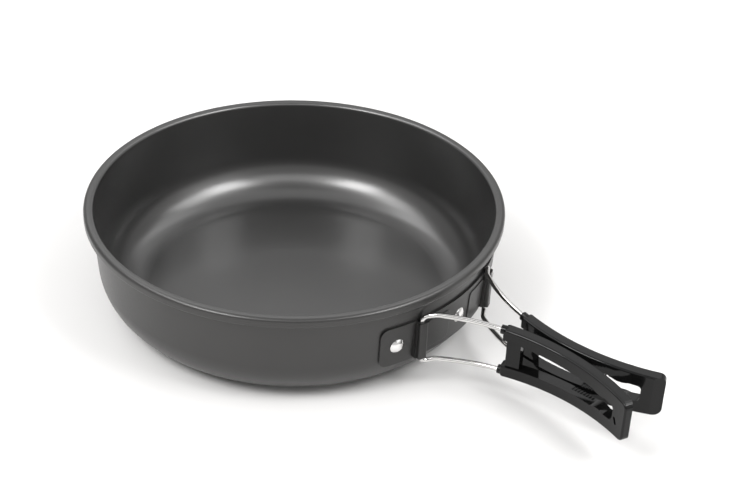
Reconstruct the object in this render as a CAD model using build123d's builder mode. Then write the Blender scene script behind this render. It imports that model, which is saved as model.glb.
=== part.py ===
from build123d import *
import os
from math import asin, cos, degrees, pi, radians, sin, tan

# A camping frying pan: a spun aluminium bowl with a rolled rim, and a folding handle.
# The handle is two bent wires in a riveted strap, each with a plastic grip on its end.
# Each wire turns on a vertical axis, so both wings fold back around the bowl.
#
# Millimetres and degrees. The origin is the centre of the underside, +Z is up, and the
# open handle points along +X. Left is +Y, right is -Y.

# Bowl
rim_radius = 100.0
pan_height = 51.4
sheet = 1.3
wall_lean = 3.6                 # outward lean of the wall, from vertical
corner_radius = 23.0            # outside, between the floor and the wall
bead_width = 3.6                # from the outside of the wall to the edge of the rim
bead_height = 4.4
bead_slit = 0.35                # where the rolled edge stops short of the wall
bead_top_rounding = 1.6
bead_bottom_rounding = 0.8
lip_rounding = 1.7              # inside the mouth
roll_rounding = 0.5             # in the hollow of the rolled edge

# Strap that holds the hinges
handle_height = 27.0            # middle plane of the strap, the wires and the grips
strap_thickness = 1.0
strap_height = 21.0
strap_half_angle = 27.7
strap_corner = 4.0
rivet_angle = 22.6
knuckle_angle = 15.5
knuckle_height = 19.2
knuckle_depth = 5.0
knuckle_rounding = 1.0
foot_width = 6.0                # where the knuckle's sides run out into the strap
foot_reach = 0.4                # of that foot, outward from the hinge axis
notch_width = 5.4
hinge_radius = 97.4             # from the bowl's axis to each hinge axis
pad_from, pad_to = 4.7, 13.5    # azimuths of the raised pads beside each knuckle
pad_height = 15.6
pad_rise = 0.5
pad_corner = 2.4
pad_rounding = 0.3

# Rivets
shank_radius = 2.0
head_radius = 3.6
head_height = 1.7
inner_head_height = 0.9
head_edge = 0.2                 # straight part of each head's side

# Wires
wire_diameter = 2.3
wire_clearance = 0.08           # radial, in the knuckle
elbow_height = 12.3             # of the wire's bends, above and below the middle plane
elbow_radius = 2.7
arm_radius = 100.0              # of the folded arms, around the bowl's axis
arm_start = 19.4                # azimuth where the wire joins that circle
arm_start_height = 12.0
arm_end_height = 10.9
arm_steps = 4
joggle_radius = 7.0             # between the elbow and the arm
wire_in_grip = 6.5              # degrees of wire held inside the grip

# Grips, measured folded around the bowl
grip_inner_radius = 97.2
grip_thickness = 5.6
grip_start = 37.5               # azimuth of the end nearer the hinge
grip_length = 70.0
grip_start_height = 25.6
grip_end_height = 19.6
bar_start_height = 5.5
bar_end_height = 6.3
web_from, web_to = 2.1, 8.9     # along the grip
web_set_back = 0.8
hinge_end_corner = 1.6
outer_end_corner = 3.0
grip_rounding = 0.9
window_end = 61.0
window_corner = 1.8
swell_at = 52.0                 # the swelling that narrows the long opening
swell_radius = 9.0
swell_rise = 0.8
slot_at = 63.9                  # the small slanted blind slot in the end plate
slot_drop = 2.2
slot_length = 3.7
slot_width = 1.3
slot_depth = 2.0
slot_slant = 62
end_bevel_length = 5.0
end_bevel_depth = 2.0
tooth_pitch = 1.5
tooth_count = 8
teeth_from = 35.5
tooth_radius = 0.55
boss_radius = 2.1
boss_reach = 1.5

# How far beyond grip_start each grip is pushed onto its wire, in degrees
grip_shift = {"left": 1.9, "right": -0.7}

# How far each wing swings from folded flat around the bowl to its open place
open_swing = {"left": 146.3, "right": 139.4}

sides = {"left": 1, "right": -1}
past = 1.0                      # how far a cutting shape runs past what it cuts
wire_radius = wire_diameter / 2
bead_bottom = pan_height - bead_height
wall_top_radius = rim_radius - bead_width
strap_low = handle_height - strap_height / 2
strap_high = handle_height + strap_height / 2
grip_middle_radius = grip_inner_radius + grip_thickness / 2
grip_outer_radius = grip_inner_radius + grip_thickness


def wall_radius(height):
    """Outside radius of the wall's cone at a height above the floor."""
    return wall_top_radius - (bead_bottom - height) * tan(radians(wall_lean))


def polar(radius, azimuth, height=0.0):
    return Vector(radius * cos(radians(azimuth)), radius * sin(radians(azimuth)), height)


def radial_plane(azimuth):
    """Upright plane through the bowl's axis: x runs outward and y runs up."""
    return Plane(origin=(0, 0, 0), x_dir=polar(1, azimuth), z_dir=polar(1, azimuth - 90))


def facing_plane(radius, azimuth, height):
    """Upright plane that faces outward: x runs round the bowl and y runs up."""
    return Plane(
        origin=polar(radius, azimuth, height),
        x_dir=polar(1, azimuth + 90),
        z_dir=polar(1, azimuth),
    )


def level_plane(radius, azimuth, height):
    """Level plane at a point round the bowl: x runs outward."""
    return Plane(origin=polar(radius, azimuth, height), x_dir=polar(1, azimuth), z_dir=(0, 0, 1))


def nearest(sketch, x, y):
    """The sketch's corner nearest to a place on its plane."""
    return sketch.vertices().sort_by(lambda v: (v.X - x) ** 2 + (v.Y - y) ** 2)[0]


def wall_core():
    """Solid cone that fills the inside of the leaning wall, out to its outer surface."""
    top = pan_height + past
    with BuildPart() as filling:
        with BuildSketch(Plane.XZ):
            with BuildLine():
                Polyline(
                    (0, 0),
                    (wall_radius(0), 0),
                    (wall_radius(top), top),
                    (0, top),
                    close=True,
                )
            make_face()
        revolve(axis=Axis.Z)
    return filling.part


def build_bowl():
    """Floor, wall and rolled rim, turned from one profile."""
    inner_top = wall_radius(pan_height) - sheet
    with BuildPart() as bowl:
        with BuildSketch(Plane.XZ) as profile:
            with BuildLine():
                Polyline(
                    (0, 0),
                    (wall_radius(0), 0),
                    (wall_top_radius, bead_bottom),
                    (rim_radius, bead_bottom),
                    (rim_radius, pan_height),
                    (inner_top, pan_height),
                    (wall_radius(sheet) - sheet, sheet),
                    (0, sheet),
                    close=True,
                )
            make_face()
            fillet(nearest(profile, wall_radius(0), 0), corner_radius)
            fillet(nearest(profile, wall_radius(0) - sheet, sheet), corner_radius - sheet)
            fillet(nearest(profile, rim_radius, bead_bottom), bead_bottom_rounding)
            fillet(nearest(profile, rim_radius, pan_height), bead_top_rounding)
            fillet(nearest(profile, inner_top, pan_height), lip_rounding)
        revolve(axis=Axis.Z)
        # The rolled edge is hollow, and its end stops just short of the wall.
        roll = bead_width - sheet
        with BuildSketch(Plane.XZ):
            with Locations((wall_top_radius + roll / 2, bead_bottom + bead_height / 2)):
                RectangleRounded(roll, bead_height - 2 * sheet, roll_rounding)
            with Locations((wall_top_radius + bead_slit / 2, bead_bottom + sheet / 2)):
                Rectangle(bead_slit, sheet + 2 * roll_rounding)
        revolve(axis=Axis.Z, mode=Mode.SUBTRACT)
    return bowl.part


def band(inner, outer, low, high, half_angle, azimuth=0.0):
    """Curved strip that leans with the wall, between two distances from its surface."""
    with BuildPart() as strip:
        with BuildSketch(radial_plane(azimuth - half_angle)):
            with BuildLine():
                Polyline(
                    (wall_radius(low) + inner, low),
                    (wall_radius(low) + outer, low),
                    (wall_radius(high) + outer, high),
                    (wall_radius(high) + inner, high),
                    close=True,
                )
            make_face()
        revolve(axis=Axis.Z, revolution_arc=2 * half_angle)
    return strip.part


def build_pad(side):
    """Shallow raised panel on the strap, between the middle rivet and a knuckle."""
    middle = side * (pad_from + pad_to) / 2
    half_angle = (pad_to - pad_from) / 2
    low = handle_height - pad_height / 2
    high = handle_height + pad_height / 2
    skin = band(strap_thickness / 2, strap_thickness + pad_rise, low - past, high + past,
                half_angle + 1, middle)
    with BuildPart() as pad:
        add(skin)
        with BuildSketch(facing_plane(0, middle, handle_height)):
            RectangleRounded(2 * hinge_radius * sin(radians(half_angle)), pad_height, pad_corner)
        extrude(amount=rim_radius, mode=Mode.INTERSECT)
        front = pad.faces().sort_by(lambda f: f.center().dot(polar(1, middle)))[-1]
        fillet(front.edges(), pad_rounding)
    return pad.part


def build_knuckle(side):
    """Solid block round one hinge axis, on a wider foot against the wall."""
    reach = wire_radius + wire_clearance + strap_thickness
    bottom = handle_height - knuckle_height / 2
    with BuildPart() as knuckle:
        with BuildSketch(level_plane(hinge_radius, side * knuckle_angle, bottom)):
            with Locations((foot_reach - knuckle_depth / 2, 0)):
                Rectangle(knuckle_depth, foot_width)
            with Locations((reach - knuckle_depth / 2, 0)):
                RectangleRounded(knuckle_depth, 2 * reach, knuckle_rounding)
        extrude(amount=knuckle_height)
    return knuckle.part


def build_passage(side):
    """What one wire needs cleared: a bore open to the wall, and a notch at each end."""
    bore = wire_radius + wire_clearance
    azimuth = side * knuckle_angle
    with BuildPart() as passage:
        with BuildSketch(level_plane(hinge_radius, azimuth, strap_low - past)):
            Circle(bore)
            with Locations((-knuckle_depth / 2, 0)):
                Rectangle(knuckle_depth, 2 * bore)
        extrude(amount=strap_height + 2 * past)
        # The notches let the wire's elbows swing above and below the knuckle.
        depth = (strap_height - knuckle_height) / 2 + past
        for start in (strap_low - past, strap_high + past - depth):
            with BuildSketch(level_plane(hinge_radius, azimuth, start)):
                Rectangle(2 * knuckle_depth, notch_width)
            extrude(amount=depth)
    return passage.part


def build_strap():
    """Curved strap on the wall, with two raised pads and a knuckle round each wire."""
    with BuildPart() as strap:
        add(band(0, strap_thickness, strap_low, strap_high, strap_half_angle))
        fillet(strap.edges().filter_by(lambda e: e.length < 2 * strap_thickness), strap_corner)
        for side in sides.values():
            add(build_pad(side))
            add(build_knuckle(side))
        # Only what lies outside the wall is kept.
        add(wall_core(), mode=Mode.SUBTRACT)
        for side in sides.values():
            add(build_passage(side), mode=Mode.SUBTRACT)
    return strap.part


def rivet_axis(azimuth):
    """A point on the strap's outside at the middle plane, and the wall's outward normal."""
    point = polar(wall_radius(handle_height) + strap_thickness, azimuth, handle_height)
    lean = radians(wall_lean)
    normal = polar(cos(lean), azimuth, -sin(lean))
    return point, normal


def build_hole(azimuth):
    """Round plug as wide as a rivet's shank, long enough to cut both sheets."""
    point, normal = rivet_axis(azimuth)
    depth = sheet + strap_thickness + past
    plane = Plane(origin=point - normal * depth, x_dir=polar(1, azimuth + 90), z_dir=normal)
    with BuildPart() as plug:
        with BuildSketch(plane):
            Circle(shank_radius)
        extrude(amount=depth + past)
    return plug.part


def cap_middle(height):
    """Halfway point of the arc over a rivet head, from the head's edge to its top."""
    ball = (head_radius**2 + height**2) / (2 * height)
    angle = asin(head_radius / ball) / 2
    return ball * sin(angle), height - ball * (1 - cos(angle))


def build_rivet(azimuth):
    """Domed head outside, low head inside and the shank between, turned in one piece."""
    point, normal = rivet_axis(azimuth)
    tangent = polar(1, azimuth + 90)
    # The inner head is flat under its edge, so it stands off the wall's curve by its sagitta.
    sagitta = head_radius**2 / (2 * (wall_radius(handle_height) - sheet))
    inside = -(sheet + strap_thickness + sagitta)
    with BuildPart() as rivet:
        with BuildSketch(Plane(origin=point, x_dir=tangent, z_dir=tangent.cross(normal))):
            with BuildLine():
                out, up = cap_middle(inner_head_height - head_edge)
                ThreePointArc(
                    (0, inside - inner_head_height),
                    (out, inside - head_edge - up),
                    (head_radius, inside - head_edge),
                )
                Polyline(
                    (head_radius, inside - head_edge),
                    (head_radius, inside),
                    (shank_radius, inside),
                    (shank_radius, 0),
                    (head_radius, 0),
                    (head_radius, head_edge),
                )
                out, up = cap_middle(head_height - head_edge)
                ThreePointArc((head_radius, head_edge), (out, head_edge + up), (0, head_height))
                Line((0, head_height), (0, inside - inner_head_height))
            make_face()
        revolve(axis=Axis(point, normal))
    return rivet.part


def wire_route(side, inner_end):
    """Corner points of one wire, folded: in along the upper arm and out along the lower."""
    step = (inner_end - arm_start) / arm_steps
    rise_per_degree = (arm_end_height - arm_start_height) / (grip_start - arm_start)
    upper = []
    for i in range(arm_steps + 1):
        azimuth = inner_end - i * step
        rise = arm_start_height + (azimuth - arm_start) * rise_per_degree
        upper.append((arm_radius, side * azimuth, rise))
    upper.append((hinge_radius, side * knuckle_angle, elbow_height))
    lower = [(r, a, -rise) for r, a, rise in reversed(upper)]
    return [polar(r, a, handle_height + rise) for r, a, rise in upper + lower]


def build_wire(side, shift):
    """One round wire bent to a U: a straight hinge pin between two curved arms."""
    inner_end = grip_start + shift + wire_in_grip
    step = radians((inner_end - arm_start) / arm_steps)
    arm_bend = 0.45 * arm_radius * step / tan(step / 2)
    arm_bends = [arm_bend] * (arm_steps - 1) + [joggle_radius]
    bends = arm_bends + [elbow_radius, elbow_radius] + arm_bends[::-1]
    with BuildPart() as wire:
        with BuildLine() as path:
            FilletPolyline(*wire_route(side, inner_end), radius=bends)
        with BuildSketch(Plane(origin=path.wire() @ 0, z_dir=path.wire() % 0)):
            Circle(wire_radius)
        sweep()
    length = path.wire().length
    print(f"wire length {length:.1f}, volume {wire.part.volume:.1f} of {pi * wire_radius**2 * length:.1f}")
    return wire.part


def along(position):
    """Azimuth of a position along the grip."""
    return grip_start + degrees(position / grip_middle_radius)


def half_height(position):
    """Half of the grip's height at a position along it."""
    taper = (grip_end_height - grip_start_height) / grip_length
    return (grip_start_height + taper * position) / 2


def opening_half_height(position):
    """Half of the gap between the two bars at a position along the grip."""
    taper = (bar_end_height - bar_start_height) / window_end
    return half_height(position) - bar_start_height - taper * position


def across(position):
    """Place of a position along the grip on the plane that faces its middle."""
    return grip_middle_radius * sin(radians(along(position) - along(grip_length / 2)))


def grip_sector(inner, outer, start, end, half, side):
    """Part of a ring round the bowl, level above and below."""
    sweep_angle = side * (along(end) - along(start))
    with BuildPart() as sector:
        with BuildSketch(Plane.XY.offset(handle_height - half)):
            with BuildLine():
                CenterArc((0, 0), inner, side * along(start), sweep_angle)
                CenterArc((0, 0), outer, side * along(start), sweep_angle)
                Line(polar(inner, side * along(start)), polar(outer, side * along(start)))
                Line(polar(inner, side * along(end)), polar(outer, side * along(end)))
            make_face()
        extrude(amount=2 * half)
    return sector.part


def grip_face(side, radius=0.0):
    """Upright plane across the middle of the folded grip, facing outward."""
    return facing_plane(radius, side * along(grip_length / 2), handle_height)


def tapered(side, start, end, start_half, end_half):
    """Outline on the grip's face, even about its middle, between two positions along it."""
    with BuildSketch() as outline:
        with BuildLine():
            Polyline(
                (side * across(start), start_half),
                (side * across(end), end_half),
                (side * across(end), -end_half),
                (side * across(start), -start_half),
                close=True,
            )
        make_face()
    return outline.sketch


def build_blank(side):
    """The grip before anything is cut out: part of a ring that tapers in height."""
    start, end = -5 * past, grip_length + 5 * past
    outline = tapered(side, start, end, half_height(start), half_height(end))
    with BuildPart() as blank:
        add(grip_sector(grip_inner_radius, grip_outer_radius, 0, grip_length, half_height(start), side))
        with BuildSketch(grip_face(side)):
            add(outline)
        extrude(amount=2 * grip_outer_radius, mode=Mode.INTERSECT)
        hinge_end = polar(grip_middle_radius, side * grip_start, handle_height)
        corners = blank.edges().filter_by(lambda e: e.length < 1.2 * grip_thickness)
        corners = corners.sort_by(lambda e: (e.center() - hinge_end).length)
        fillet(corners[:2], hinge_end_corner)
        fillet(corners[2:], outer_end_corner)
        add(build_bevel(side), mode=Mode.SUBTRACT)
        fillet(blank.edges().filter_by(lambda e: e.length > grip_length / 2), grip_rounding)
    return blank.part


def build_bevel(side):
    """Wedge cut from the grip's convex face at its outer end."""
    before = side * along(grip_length - end_bevel_length)
    after = side * along(grip_length + end_bevel_length)
    with BuildPart() as wedge:
        with BuildSketch(Plane.XY):
            with BuildLine():
                Polyline(
                    polar(grip_outer_radius, before),
                    polar(grip_outer_radius - end_bevel_depth, side * along(grip_length)),
                    polar(grip_outer_radius - end_bevel_depth, after),
                    polar(grip_outer_radius + end_bevel_length, after),
                    polar(grip_outer_radius + end_bevel_length, before),
                    close=True,
                )
            make_face()
        extrude(amount=2 * handle_height)
    return wedge.part


def build_window(side):
    """The long opening between the two bars, narrowed by a swelling near its outer end."""
    outline = tapered(
        side, -past, window_end, opening_half_height(-past), opening_half_height(window_end)
    )
    middle = side * across(swell_at)
    rise = opening_half_height(swell_at) + swell_radius - swell_rise
    with BuildPart() as window:
        with BuildSketch(grip_face(side)) as opening:
            add(outline)
            fillet(opening.vertices().sort_by(lambda v: side * v.X)[-2:], window_corner)
            with Locations((middle, rise), (middle, -rise)):
                Circle(swell_radius, mode=Mode.SUBTRACT)
        extrude(amount=2 * grip_outer_radius)
    return window.part


def build_teeth(side):
    """Row of small scallops for each bar, on its half nearer the convex face."""
    with BuildPart() as teeth:
        with BuildSketch(grip_face(side, grip_middle_radius)):
            for i in range(tooth_count):
                position = teeth_from + i * tooth_pitch
                rise = opening_half_height(position)
                with Locations((side * across(position), rise), (side * across(position), -rise)):
                    Circle(tooth_radius)
        extrude(amount=grip_thickness)
    return teeth.part


def build_slot(side):
    """Small slanted blind slot in the concave face of the end plate."""
    bottom = grip_inner_radius + slot_depth
    with BuildPart() as slot:
        with BuildSketch(facing_plane(bottom, side * along(slot_at), handle_height - slot_drop)):
            SlotOverall(slot_length, slot_width, rotation=-side * slot_slant)
        extrude(amount=-2 * slot_depth)
    return slot.part


def build_boss(side, sign):
    """Round collar on the hinge end, where an arm of the wire enters the upper or lower bar."""
    start = side * along(-boss_reach)
    entry = polar(arm_radius, start, handle_height + sign * arm_end_height)
    with BuildPart() as boss:
        with BuildSketch(Plane(origin=entry, z_dir=polar(1, start + side * 90))):
            Circle(boss_radius)
        extrude(amount=2 * boss_reach)
    return boss.part


def build_grip(side, shift, wire):
    """Open frame of two bars, with a web near the hinge and a solid plate at the end."""
    web = grip_sector(grip_inner_radius + web_set_back, grip_outer_radius - web_set_back,
                      web_from, web_to, opening_half_height(web_from) + grip_rounding, side)
    with BuildPart() as grip:
        add(build_blank(side))
        for cut in (build_window(side), build_teeth(side), build_slot(side)):
            add(cut, mode=Mode.SUBTRACT)
        add(web)
        add(build_boss(side, 1))
        add(build_boss(side, -1))
    with BuildPart() as bored:
        add(grip.part.rotate(Axis.Z, side * shift))
        add(wire, mode=Mode.SUBTRACT)
    return bored.part


def opened(piece, side, swing):
    """The folded piece, swung open about its hinge."""
    hinge = Axis(polar(hinge_radius, side * knuckle_angle), (0, 0, 1))
    with BuildPart() as moved:
        add(piece.rotate(hinge, -side * swing))
    return moved


def save(builder, name):
    builder.part.label = name
    export_step(builder.part, f"parts/{name}.step")


os.makedirs("parts", exist_ok=True)

bowl = build_bowl()
strap = build_strap()
rivet_places = {"left": rivet_angle, "centre": 0.0, "right": -rivet_angle}

with BuildPart() as pan_body:
    add(bowl)
    for azimuth in rivet_places.values():
        add(build_hole(azimuth), mode=Mode.SUBTRACT)
save(pan_body, "pan_body")

with BuildPart() as handle_bracket:
    add(strap)
    for azimuth in rivet_places.values():
        add(build_hole(azimuth), mode=Mode.SUBTRACT)
save(handle_bracket, "handle_bracket")

for place, azimuth in rivet_places.items():
    with BuildPart() as rivet:
        add(build_rivet(azimuth))
    save(rivet, f"rivet_{place}")

for name, side in sides.items():
    folded_wire = build_wire(side, grip_shift[name])
    folded_grip = build_grip(side, grip_shift[name], folded_wire)
    save(opened(folded_wire, side, open_swing[name]), f"wire_{name}")
    save(opened(folded_grip, side, open_swing[name]), f"grip_{name}")
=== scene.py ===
import math

import bmesh
import bpy
from mathutils import Matrix, Vector


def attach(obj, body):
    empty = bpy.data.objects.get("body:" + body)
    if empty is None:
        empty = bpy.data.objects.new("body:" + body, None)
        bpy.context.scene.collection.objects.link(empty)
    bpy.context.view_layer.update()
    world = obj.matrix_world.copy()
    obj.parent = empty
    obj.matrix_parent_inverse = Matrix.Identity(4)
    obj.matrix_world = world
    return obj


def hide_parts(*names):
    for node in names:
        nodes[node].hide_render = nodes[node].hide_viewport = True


# Where the camera stands, in metres, and how it is turned
CAMERA_PLACE = (0.3887, -0.4726, 0.4253)
CAMERA_RIGHT = (0.7968, 0.6033, 0.0353)
CAMERA_UP = (-0.3557, 0.4210, 0.8344)
CAMERA_LENS = 72.0                # millimetres, like the sensor
CAMERA_SENSOR = 36.0
CAMERA_NEAREST = 0.01
CAMERA_AZIMUTH = -54.2            # of the camera, in degrees, seen from the pan

# Name, azimuth from the camera's, elevation, width, height and radiance of each softbox
SOFTBOXES = (
    ("left_key", -46, 50, 0.40, 0.42, 17.0),
    ("left_side", -80, 53, 0.45, 0.40, 5.5),
    ("left_back", -120, 54, 0.60, 0.36, 4.0),
    ("right_key", 60, 50, 0.42, 0.42, 14.0),
    ("right_side", 92, 50, 0.42, 0.42, 5.5),
    ("right_back", 130, 50, 0.42, 0.42, 2.0),
    ("back", 178, 46, 1.60, 0.42, 1.3),
    ("front", 0, 50, 1.00, 0.42, 2.2),
    ("right_low", 60, 28, 0.80, 0.42, 0.8),
    ("top", 180, 78, 1.20, 0.80, 1.0),
)
SOFTBOX_DISTANCE = 1.2

# The studio round the pan: a bright sweep low down that fades to a dark ceiling
STUDIO_COLOR = (1.0, 0.995, 0.99, 1.0)
SWEEP_GLOW, CEILING_GLOW = 0.75, 0.07
SWEEP_TOP, CEILING_START = 0.35, 0.6     # sines of their elevations

FLOOR_COLOR = (0.67, 0.664, 0.658, 1.0)
FLOOR_ROUGHNESS = 0.75
FLOOR_REACH = 6.0
FLOOR_DROP = 0.0002               # below the pan, so that the two faces don't meet

# The bowl's section, in metres
RIM_RADIUS = 0.100
PAN_HEIGHT = 0.0514
SHEET = 0.0013
WALL_LEAN = 3.6                   # degrees
CORNER_RADIUS = 0.023
BEAD_WIDTH = 0.0036
BEAD_HEIGHT = 0.0044
BEAD_SLIT = 0.00035
BEAD_TOP_ROUNDING = 0.0016
BEAD_BOTTOM_ROUNDING = 0.0008
LIP_ROUNDING = 0.0017
BOWL_TURNS = 360
ROUND_STEP = 0.0004               # length of the short faces round each bend
SAME_PLACE = 1e-6                 # corners this close are one
SHARP_EDGE = 35                   # degrees

# Surfaces
ANODISED_ROUGHNESS = 0.42
OUTSIDE_COAT, INSIDE_COAT = 0.32, 1.0
INSIDE_COAT_IOR = 1.6
INSIDE_POINT = (0.0, 0.0, 0.06)   # the bowl's inside and the top of its rim face this point
COAT_CHANGE = 0.001               # half the width of the change from one coat to the other

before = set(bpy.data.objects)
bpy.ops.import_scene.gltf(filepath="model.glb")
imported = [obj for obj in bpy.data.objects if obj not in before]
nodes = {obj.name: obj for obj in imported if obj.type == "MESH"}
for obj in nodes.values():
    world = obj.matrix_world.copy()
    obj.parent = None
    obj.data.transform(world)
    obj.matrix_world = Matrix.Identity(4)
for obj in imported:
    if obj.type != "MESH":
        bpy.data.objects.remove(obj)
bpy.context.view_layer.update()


class Nodes:
    """A node material with short calls for the nodes that the looks use."""

    def __init__(self, name):
        self.material = bpy.data.materials.new(name)
        self.material.use_nodes = True
        self.tree = self.material.node_tree
        self.tree.nodes.clear()
        self.output = self.tree.nodes.new("ShaderNodeOutputMaterial")
        self.shader = self.tree.nodes.new("ShaderNodeBsdfPrincipled")
        self.link(self.shader.outputs["BSDF"], self.output.inputs["Surface"])
        self.place = self.tree.nodes.new("ShaderNodeTexCoord").outputs["Object"]

    def link(self, source, target):
        self.tree.links.new(source, target)

    def feed(self, value, socket):
        """Links an output to a socket, or sets the socket to a constant."""
        if isinstance(value, bpy.types.NodeSocket):
            self.link(value, socket)
        else:
            socket.default_value = value

    def set(self, **values):
        """Constants of the shader, such as IOR=1.5 or Coat_Weight=0.2."""
        for name, value in values.items():
            self.shader.inputs[name.replace("_", " ")].default_value = value

    def noise(self, scale, detail=2.0, roughness=0.5, place=None):
        node = self.tree.nodes.new("ShaderNodeTexNoise")
        self.link(place or self.place, node.inputs["Vector"])
        node.inputs["Scale"].default_value = scale
        node.inputs["Detail"].default_value = detail
        node.inputs["Roughness"].default_value = roughness
        return node.outputs["Fac"]

    def spread(self, value, low, high, to_low, to_high):
        node = self.tree.nodes.new("ShaderNodeMapRange")
        for item, socket in zip((value, low, high, to_low, to_high), node.inputs):
            self.feed(item, socket)
        return node.outputs["Result"]

    def stretched(self, scale):
        node = self.tree.nodes.new("ShaderNodeMapping")
        self.link(self.place, node.inputs["Vector"])
        node.inputs["Scale"].default_value = scale
        return node.outputs["Vector"]

    def vector(self, operation, a, b):
        node = self.tree.nodes.new("ShaderNodeVectorMath")
        node.operation = operation
        self.feed(a, node.inputs[0])
        self.feed(b, node.inputs[1])
        return node

    def faces_point(self, point):
        """Over zero on faces that are turned to a point of the object, and under zero on the others."""
        normal = self.tree.nodes.new("ShaderNodeTexCoord").outputs["Normal"]
        towards = self.vector("SUBTRACT", point, self.place).outputs["Vector"]
        return self.vector("DOT_PRODUCT", towards, normal).outputs["Value"]

    def blend(self, factor, first, second):
        node = self.tree.nodes.new("ShaderNodeMix")
        node.data_type = "RGBA"
        self.feed(factor, node.inputs["Factor"])
        self.feed(first, node.inputs["A"])
        self.feed(second, node.inputs["B"])
        return node.outputs["Result"]

    def bump(self, height, distance, strength=1.0, before=None):
        node = self.tree.nodes.new("ShaderNodeBump")
        self.link(height, node.inputs["Height"])
        node.inputs["Distance"].default_value = distance
        node.inputs["Strength"].default_value = strength
        if before:
            self.link(before, node.inputs["Normal"])
        return node.outputs["Normal"]

    def color(self, value):
        self.feed(value, self.shader.inputs["Base Color"])

    def rough(self, value):
        self.feed(value, self.shader.inputs["Roughness"])

    def normal(self, value):
        self.link(value, self.shader.inputs["Normal"])


def grey(value, warmth=0.0):
    return (value * (1 + warmth), value, value * (1 - warmth), 1.0)


def anodised(name, tone):
    """Hard anodised aluminium: a dark satin under a thin clear seal, with faint mottling."""
    m = Nodes(name)
    cloud = m.noise(22, 4, 0.6)
    fine = m.noise(900, 3, 0.6)
    mottling = m.spread(cloud, 0.3, 0.7, 0, 1)
    m.color(m.blend(mottling, grey(tone * 0.95, 0.015), grey(tone * 1.05, 0.02)))
    m.rough(m.spread(fine, 0.3, 0.7, ANODISED_ROUGHNESS - 0.02, ANODISED_ROUGHNESS + 0.02))
    m.normal(m.bump(fine, 0.00001, 0.1))
    m.set(Metallic=0.77, IOR=1.4, Coat_Weight=OUTSIDE_COAT, Coat_Roughness=0.25, Coat_IOR=1.5)
    return m


def anodised_bowl(name, tone):
    """The same, with a glossier non-stick coat inside the bowl and on top of its rim."""
    m = anodised(name, tone)
    inside = m.faces_point(INSIDE_POINT)
    coat = m.spread(inside, -COAT_CHANGE, COAT_CHANGE, OUTSIDE_COAT, INSIDE_COAT)
    m.link(coat, m.shader.inputs["Coat Weight"])
    m.set(Coat_IOR=INSIDE_COAT_IOR)
    return m


def polished(name, tone, roughness):
    """Bright bare metal with fine tumbling marks."""
    m = Nodes(name)
    fine = m.noise(2600, 3, 0.6)
    m.color(m.blend(m.spread(fine, 0.35, 0.65, 0, 1), grey(tone * 0.93, 0.01), grey(tone, 0.01)))
    m.rough(m.spread(m.noise(700, 2), 0.3, 0.7, roughness - 0.04, roughness + 0.06))
    m.normal(m.bump(fine, 0.00001, 0.5))
    m.set(Metallic=1.0)
    return m


def drawn_wire(name):
    """Bright drawn steel wire, with faint lines along it."""
    m = Nodes(name)
    lines = m.noise(1500, 2, 0.5, m.stretched((0.06, 0.06, 1.0)))
    m.color(m.blend(m.spread(lines, 0.35, 0.65, 0, 1), grey(0.56, 0.02), grey(0.66, 0.01)))
    m.rough(m.spread(m.noise(500, 2), 0.3, 0.7, 0.07, 0.12))
    m.normal(m.bump(lines, 0.00001, 0.4))
    m.set(Metallic=1.0)
    return m


def moulded(name):
    """Glossy black moulded plastic, with the soft ripple of a moulded face."""
    m = Nodes(name)
    ripple = m.noise(140, 2, 0.4)
    grain = m.noise(2400, 2, 0.5)
    m.color(m.blend(m.spread(grain, 0.3, 0.7, 0, 1), grey(0.003), grey(0.005)))
    m.rough(m.spread(m.noise(60, 3), 0.3, 0.7, 0.06, 0.1))
    m.normal(m.bump(grain, 0.00001, 0.3, m.bump(ripple, 0.0001, 0.25)))
    m.set(IOR=1.32)
    return m


def dress(node, look):
    """Puts a look, one of the node materials above, on a CAD node."""
    mesh = nodes[node].data
    mesh.materials.clear()
    mesh.materials.append(look.material)


dress("handle_bracket", anodised("anodised_bracket", 0.034))
rivet_metal = polished("rivet_steel", 0.78, 0.13)
for place in ("left", "centre", "right"):
    dress(f"rivet_{place}", rivet_metal)
wire_metal = drawn_wire("wire_steel")
plastic = moulded("grip_plastic")
for side in ("left", "right"):
    dress(f"wire_{side}", wire_metal)
    dress(f"grip_{side}", plastic)


def rounded(corners):
    """Closed outline through (x, y, radius) corners, with each corner of any radius rounded."""
    outline = []
    for i, (x, y, radius) in enumerate(corners):
        here = Vector((x, y))
        before = (Vector(corners[i - 1][:2]) - here).normalized()
        after = (Vector(corners[(i + 1) % len(corners)][:2]) - here).normalized()
        if radius == 0:
            outline.append(here)
            continue
        half = before.angle(after) / 2
        middle = here + (before + after).normalized() * (radius / math.sin(half))
        start = here + before * (radius / math.tan(half)) - middle
        turn = math.copysign(math.pi - 2 * half, start.x * after.y - start.y * after.x)
        steps = max(4, round(abs(turn) * radius / ROUND_STEP))
        for step in range(steps + 1):
            outline.append(middle + Matrix.Rotation(turn * step / steps, 2) @ start)
    return outline


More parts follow.
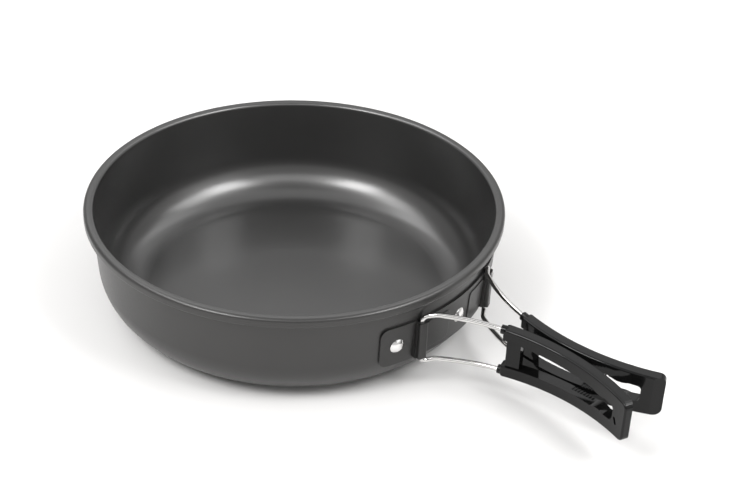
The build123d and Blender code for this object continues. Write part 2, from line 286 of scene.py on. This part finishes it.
def bowl_outline():
    """Half section of the bowl in metres: the sheet, and the rolled rim with its hollow."""
    lean = math.tan(math.radians(WALL_LEAN))
    shoulder = RIM_RADIUS - BEAD_WIDTH
    bead_bottom = PAN_HEIGHT - BEAD_HEIGHT
    lip = shoulder + (PAN_HEIGHT - bead_bottom) * lean - SHEET
    foot = shoulder - bead_bottom * lean
    hollow_low, hollow_high = bead_bottom + SHEET, PAN_HEIGHT - SHEET
    return rounded([
        (0.0, 0.0, 0),
        (foot, 0.0, CORNER_RADIUS),
        (shoulder, bead_bottom, 0),
        (shoulder, hollow_high, 0),
        (RIM_RADIUS - SHEET, hollow_high, 0),
        (RIM_RADIUS - SHEET, hollow_low, 0),
        (shoulder + BEAD_SLIT, hollow_low, 0),
        (shoulder + BEAD_SLIT, bead_bottom, 0),
        (RIM_RADIUS, bead_bottom, BEAD_BOTTOM_ROUNDING),
        (RIM_RADIUS, PAN_HEIGHT, BEAD_TOP_ROUNDING),
        (lip, PAN_HEIGHT, LIP_ROUNDING),
        (foot + SHEET * lean - SHEET, SHEET, CORNER_RADIUS - SHEET),
        (0.0, SHEET, 0),
    ])


def add_bowl():
    """The spun bowl, turned finely enough for its long smooth highlights."""
    outline = bowl_outline()
    points, faces = [], []
    for turn in range(BOWL_TURNS):
        angle = 2 * math.pi * turn / BOWL_TURNS
        points += [(p.x * math.cos(angle), p.x * math.sin(angle), p.y) for p in outline]
    count = len(outline)
    for turn in range(BOWL_TURNS):
        here, there = turn * count, (turn + 1) % BOWL_TURNS * count
        faces += [(here + i, there + i, there + i + 1, here + i + 1) for i in range(count - 1)]
    mesh = bpy.data.meshes.new("bowl")
    mesh.from_pydata(points, [], faces)
    shell = bmesh.new()
    shell.from_mesh(mesh)
    bmesh.ops.remove_doubles(shell, verts=shell.verts, dist=SAME_PLACE)
    bmesh.ops.recalc_face_normals(shell, faces=shell.faces)
    shell.to_mesh(mesh)
    shell.free()
    mesh.shade_smooth()
    mesh.set_sharp_from_angle(angle=math.radians(SHARP_EDGE))
    mesh.materials.append(anodised_bowl("anodised_pan", 0.043).material)
    bowl = bpy.data.objects.new("bowl", mesh)
    bpy.context.scene.collection.objects.link(bowl)
    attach(bowl, "pan")
    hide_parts("pan_body")


add_bowl()


def add_floor():
    """Plain pale paper under the pan."""
    mesh = bpy.data.meshes.new("floor")
    signs = ((-1, -1), (1, -1), (1, 1), (-1, 1))
    corners = [(FLOOR_REACH * x, FLOOR_REACH * y, -FLOOR_DROP) for x, y in signs]
    mesh.from_pydata(corners, [], [(0, 1, 2, 3)])
    paper = Nodes("floor_paper")
    paper.set(Base_Color=FLOOR_COLOR, Roughness=FLOOR_ROUGHNESS)
    mesh.materials.append(paper.material)
    floor = bpy.data.objects.new("floor", mesh)
    bpy.context.scene.collection.objects.link(floor)


def add_softbox(name, azimuth, elevation, width, height, glow):
    """Softbox that faces the pan, with its radiance as glow. Its azimuth starts from the camera's."""
    light = bpy.data.lights.new(name, "AREA")
    light.shape = "RECTANGLE"
    light.size = width
    light.size_y = height
    light.energy = math.pi * width * height * glow
    lamp = bpy.data.objects.new(name, light)
    bpy.context.scene.collection.objects.link(lamp)
    a, e = math.radians(CAMERA_AZIMUTH + azimuth), math.radians(elevation)
    away = Vector((math.cos(a) * math.cos(e), math.sin(a) * math.cos(e), math.sin(e)))
    lamp.location = away * SOFTBOX_DISTANCE
    lamp.rotation_euler = away.to_track_quat("Z", "Y").to_euler()


def add_world():
    world = bpy.data.worlds.new("studio")
    bpy.context.scene.world = world
    world.use_nodes = True
    tree = world.node_tree
    background = tree.nodes["Background"]
    background.inputs["Color"].default_value = STUDIO_COLOR
    place = tree.nodes.new("ShaderNodeTexCoord").outputs["Generated"]
    split = tree.nodes.new("ShaderNodeSeparateXYZ")
    tree.links.new(place, split.inputs["Vector"])
    fade = tree.nodes.new("ShaderNodeMapRange")
    tree.links.new(split.outputs["Z"], fade.inputs["Value"])
    fade.inputs["From Min"].default_value = SWEEP_TOP
    fade.inputs["From Max"].default_value = CEILING_START
    fade.inputs["To Min"].default_value = SWEEP_GLOW
    fade.inputs["To Max"].default_value = CEILING_GLOW
    tree.links.new(fade.outputs["Result"], background.inputs["Strength"])


def add_camera():
    data = bpy.data.cameras.new("camera")
    data.lens = CAMERA_LENS
    data.sensor_width = CAMERA_SENSOR
    data.clip_start = CAMERA_NEAREST
    camera = bpy.data.objects.new("camera", data)
    bpy.context.scene.collection.objects.link(camera)
    right, up = Vector(CAMERA_RIGHT).normalized(), Vector(CAMERA_UP).normalized()
    back = right.cross(up).normalized()
    turn = Matrix((right, back.cross(right), back)).transposed().to_4x4()
    camera.matrix_world = Matrix.Translation(CAMERA_PLACE) @ turn
    bpy.context.scene.camera = camera


add_floor()
add_world()
for softbox in SOFTBOXES:
    add_softbox(*softbox)
add_camera()
bpy.context.scene.view_settings.view_transform = "Standard"
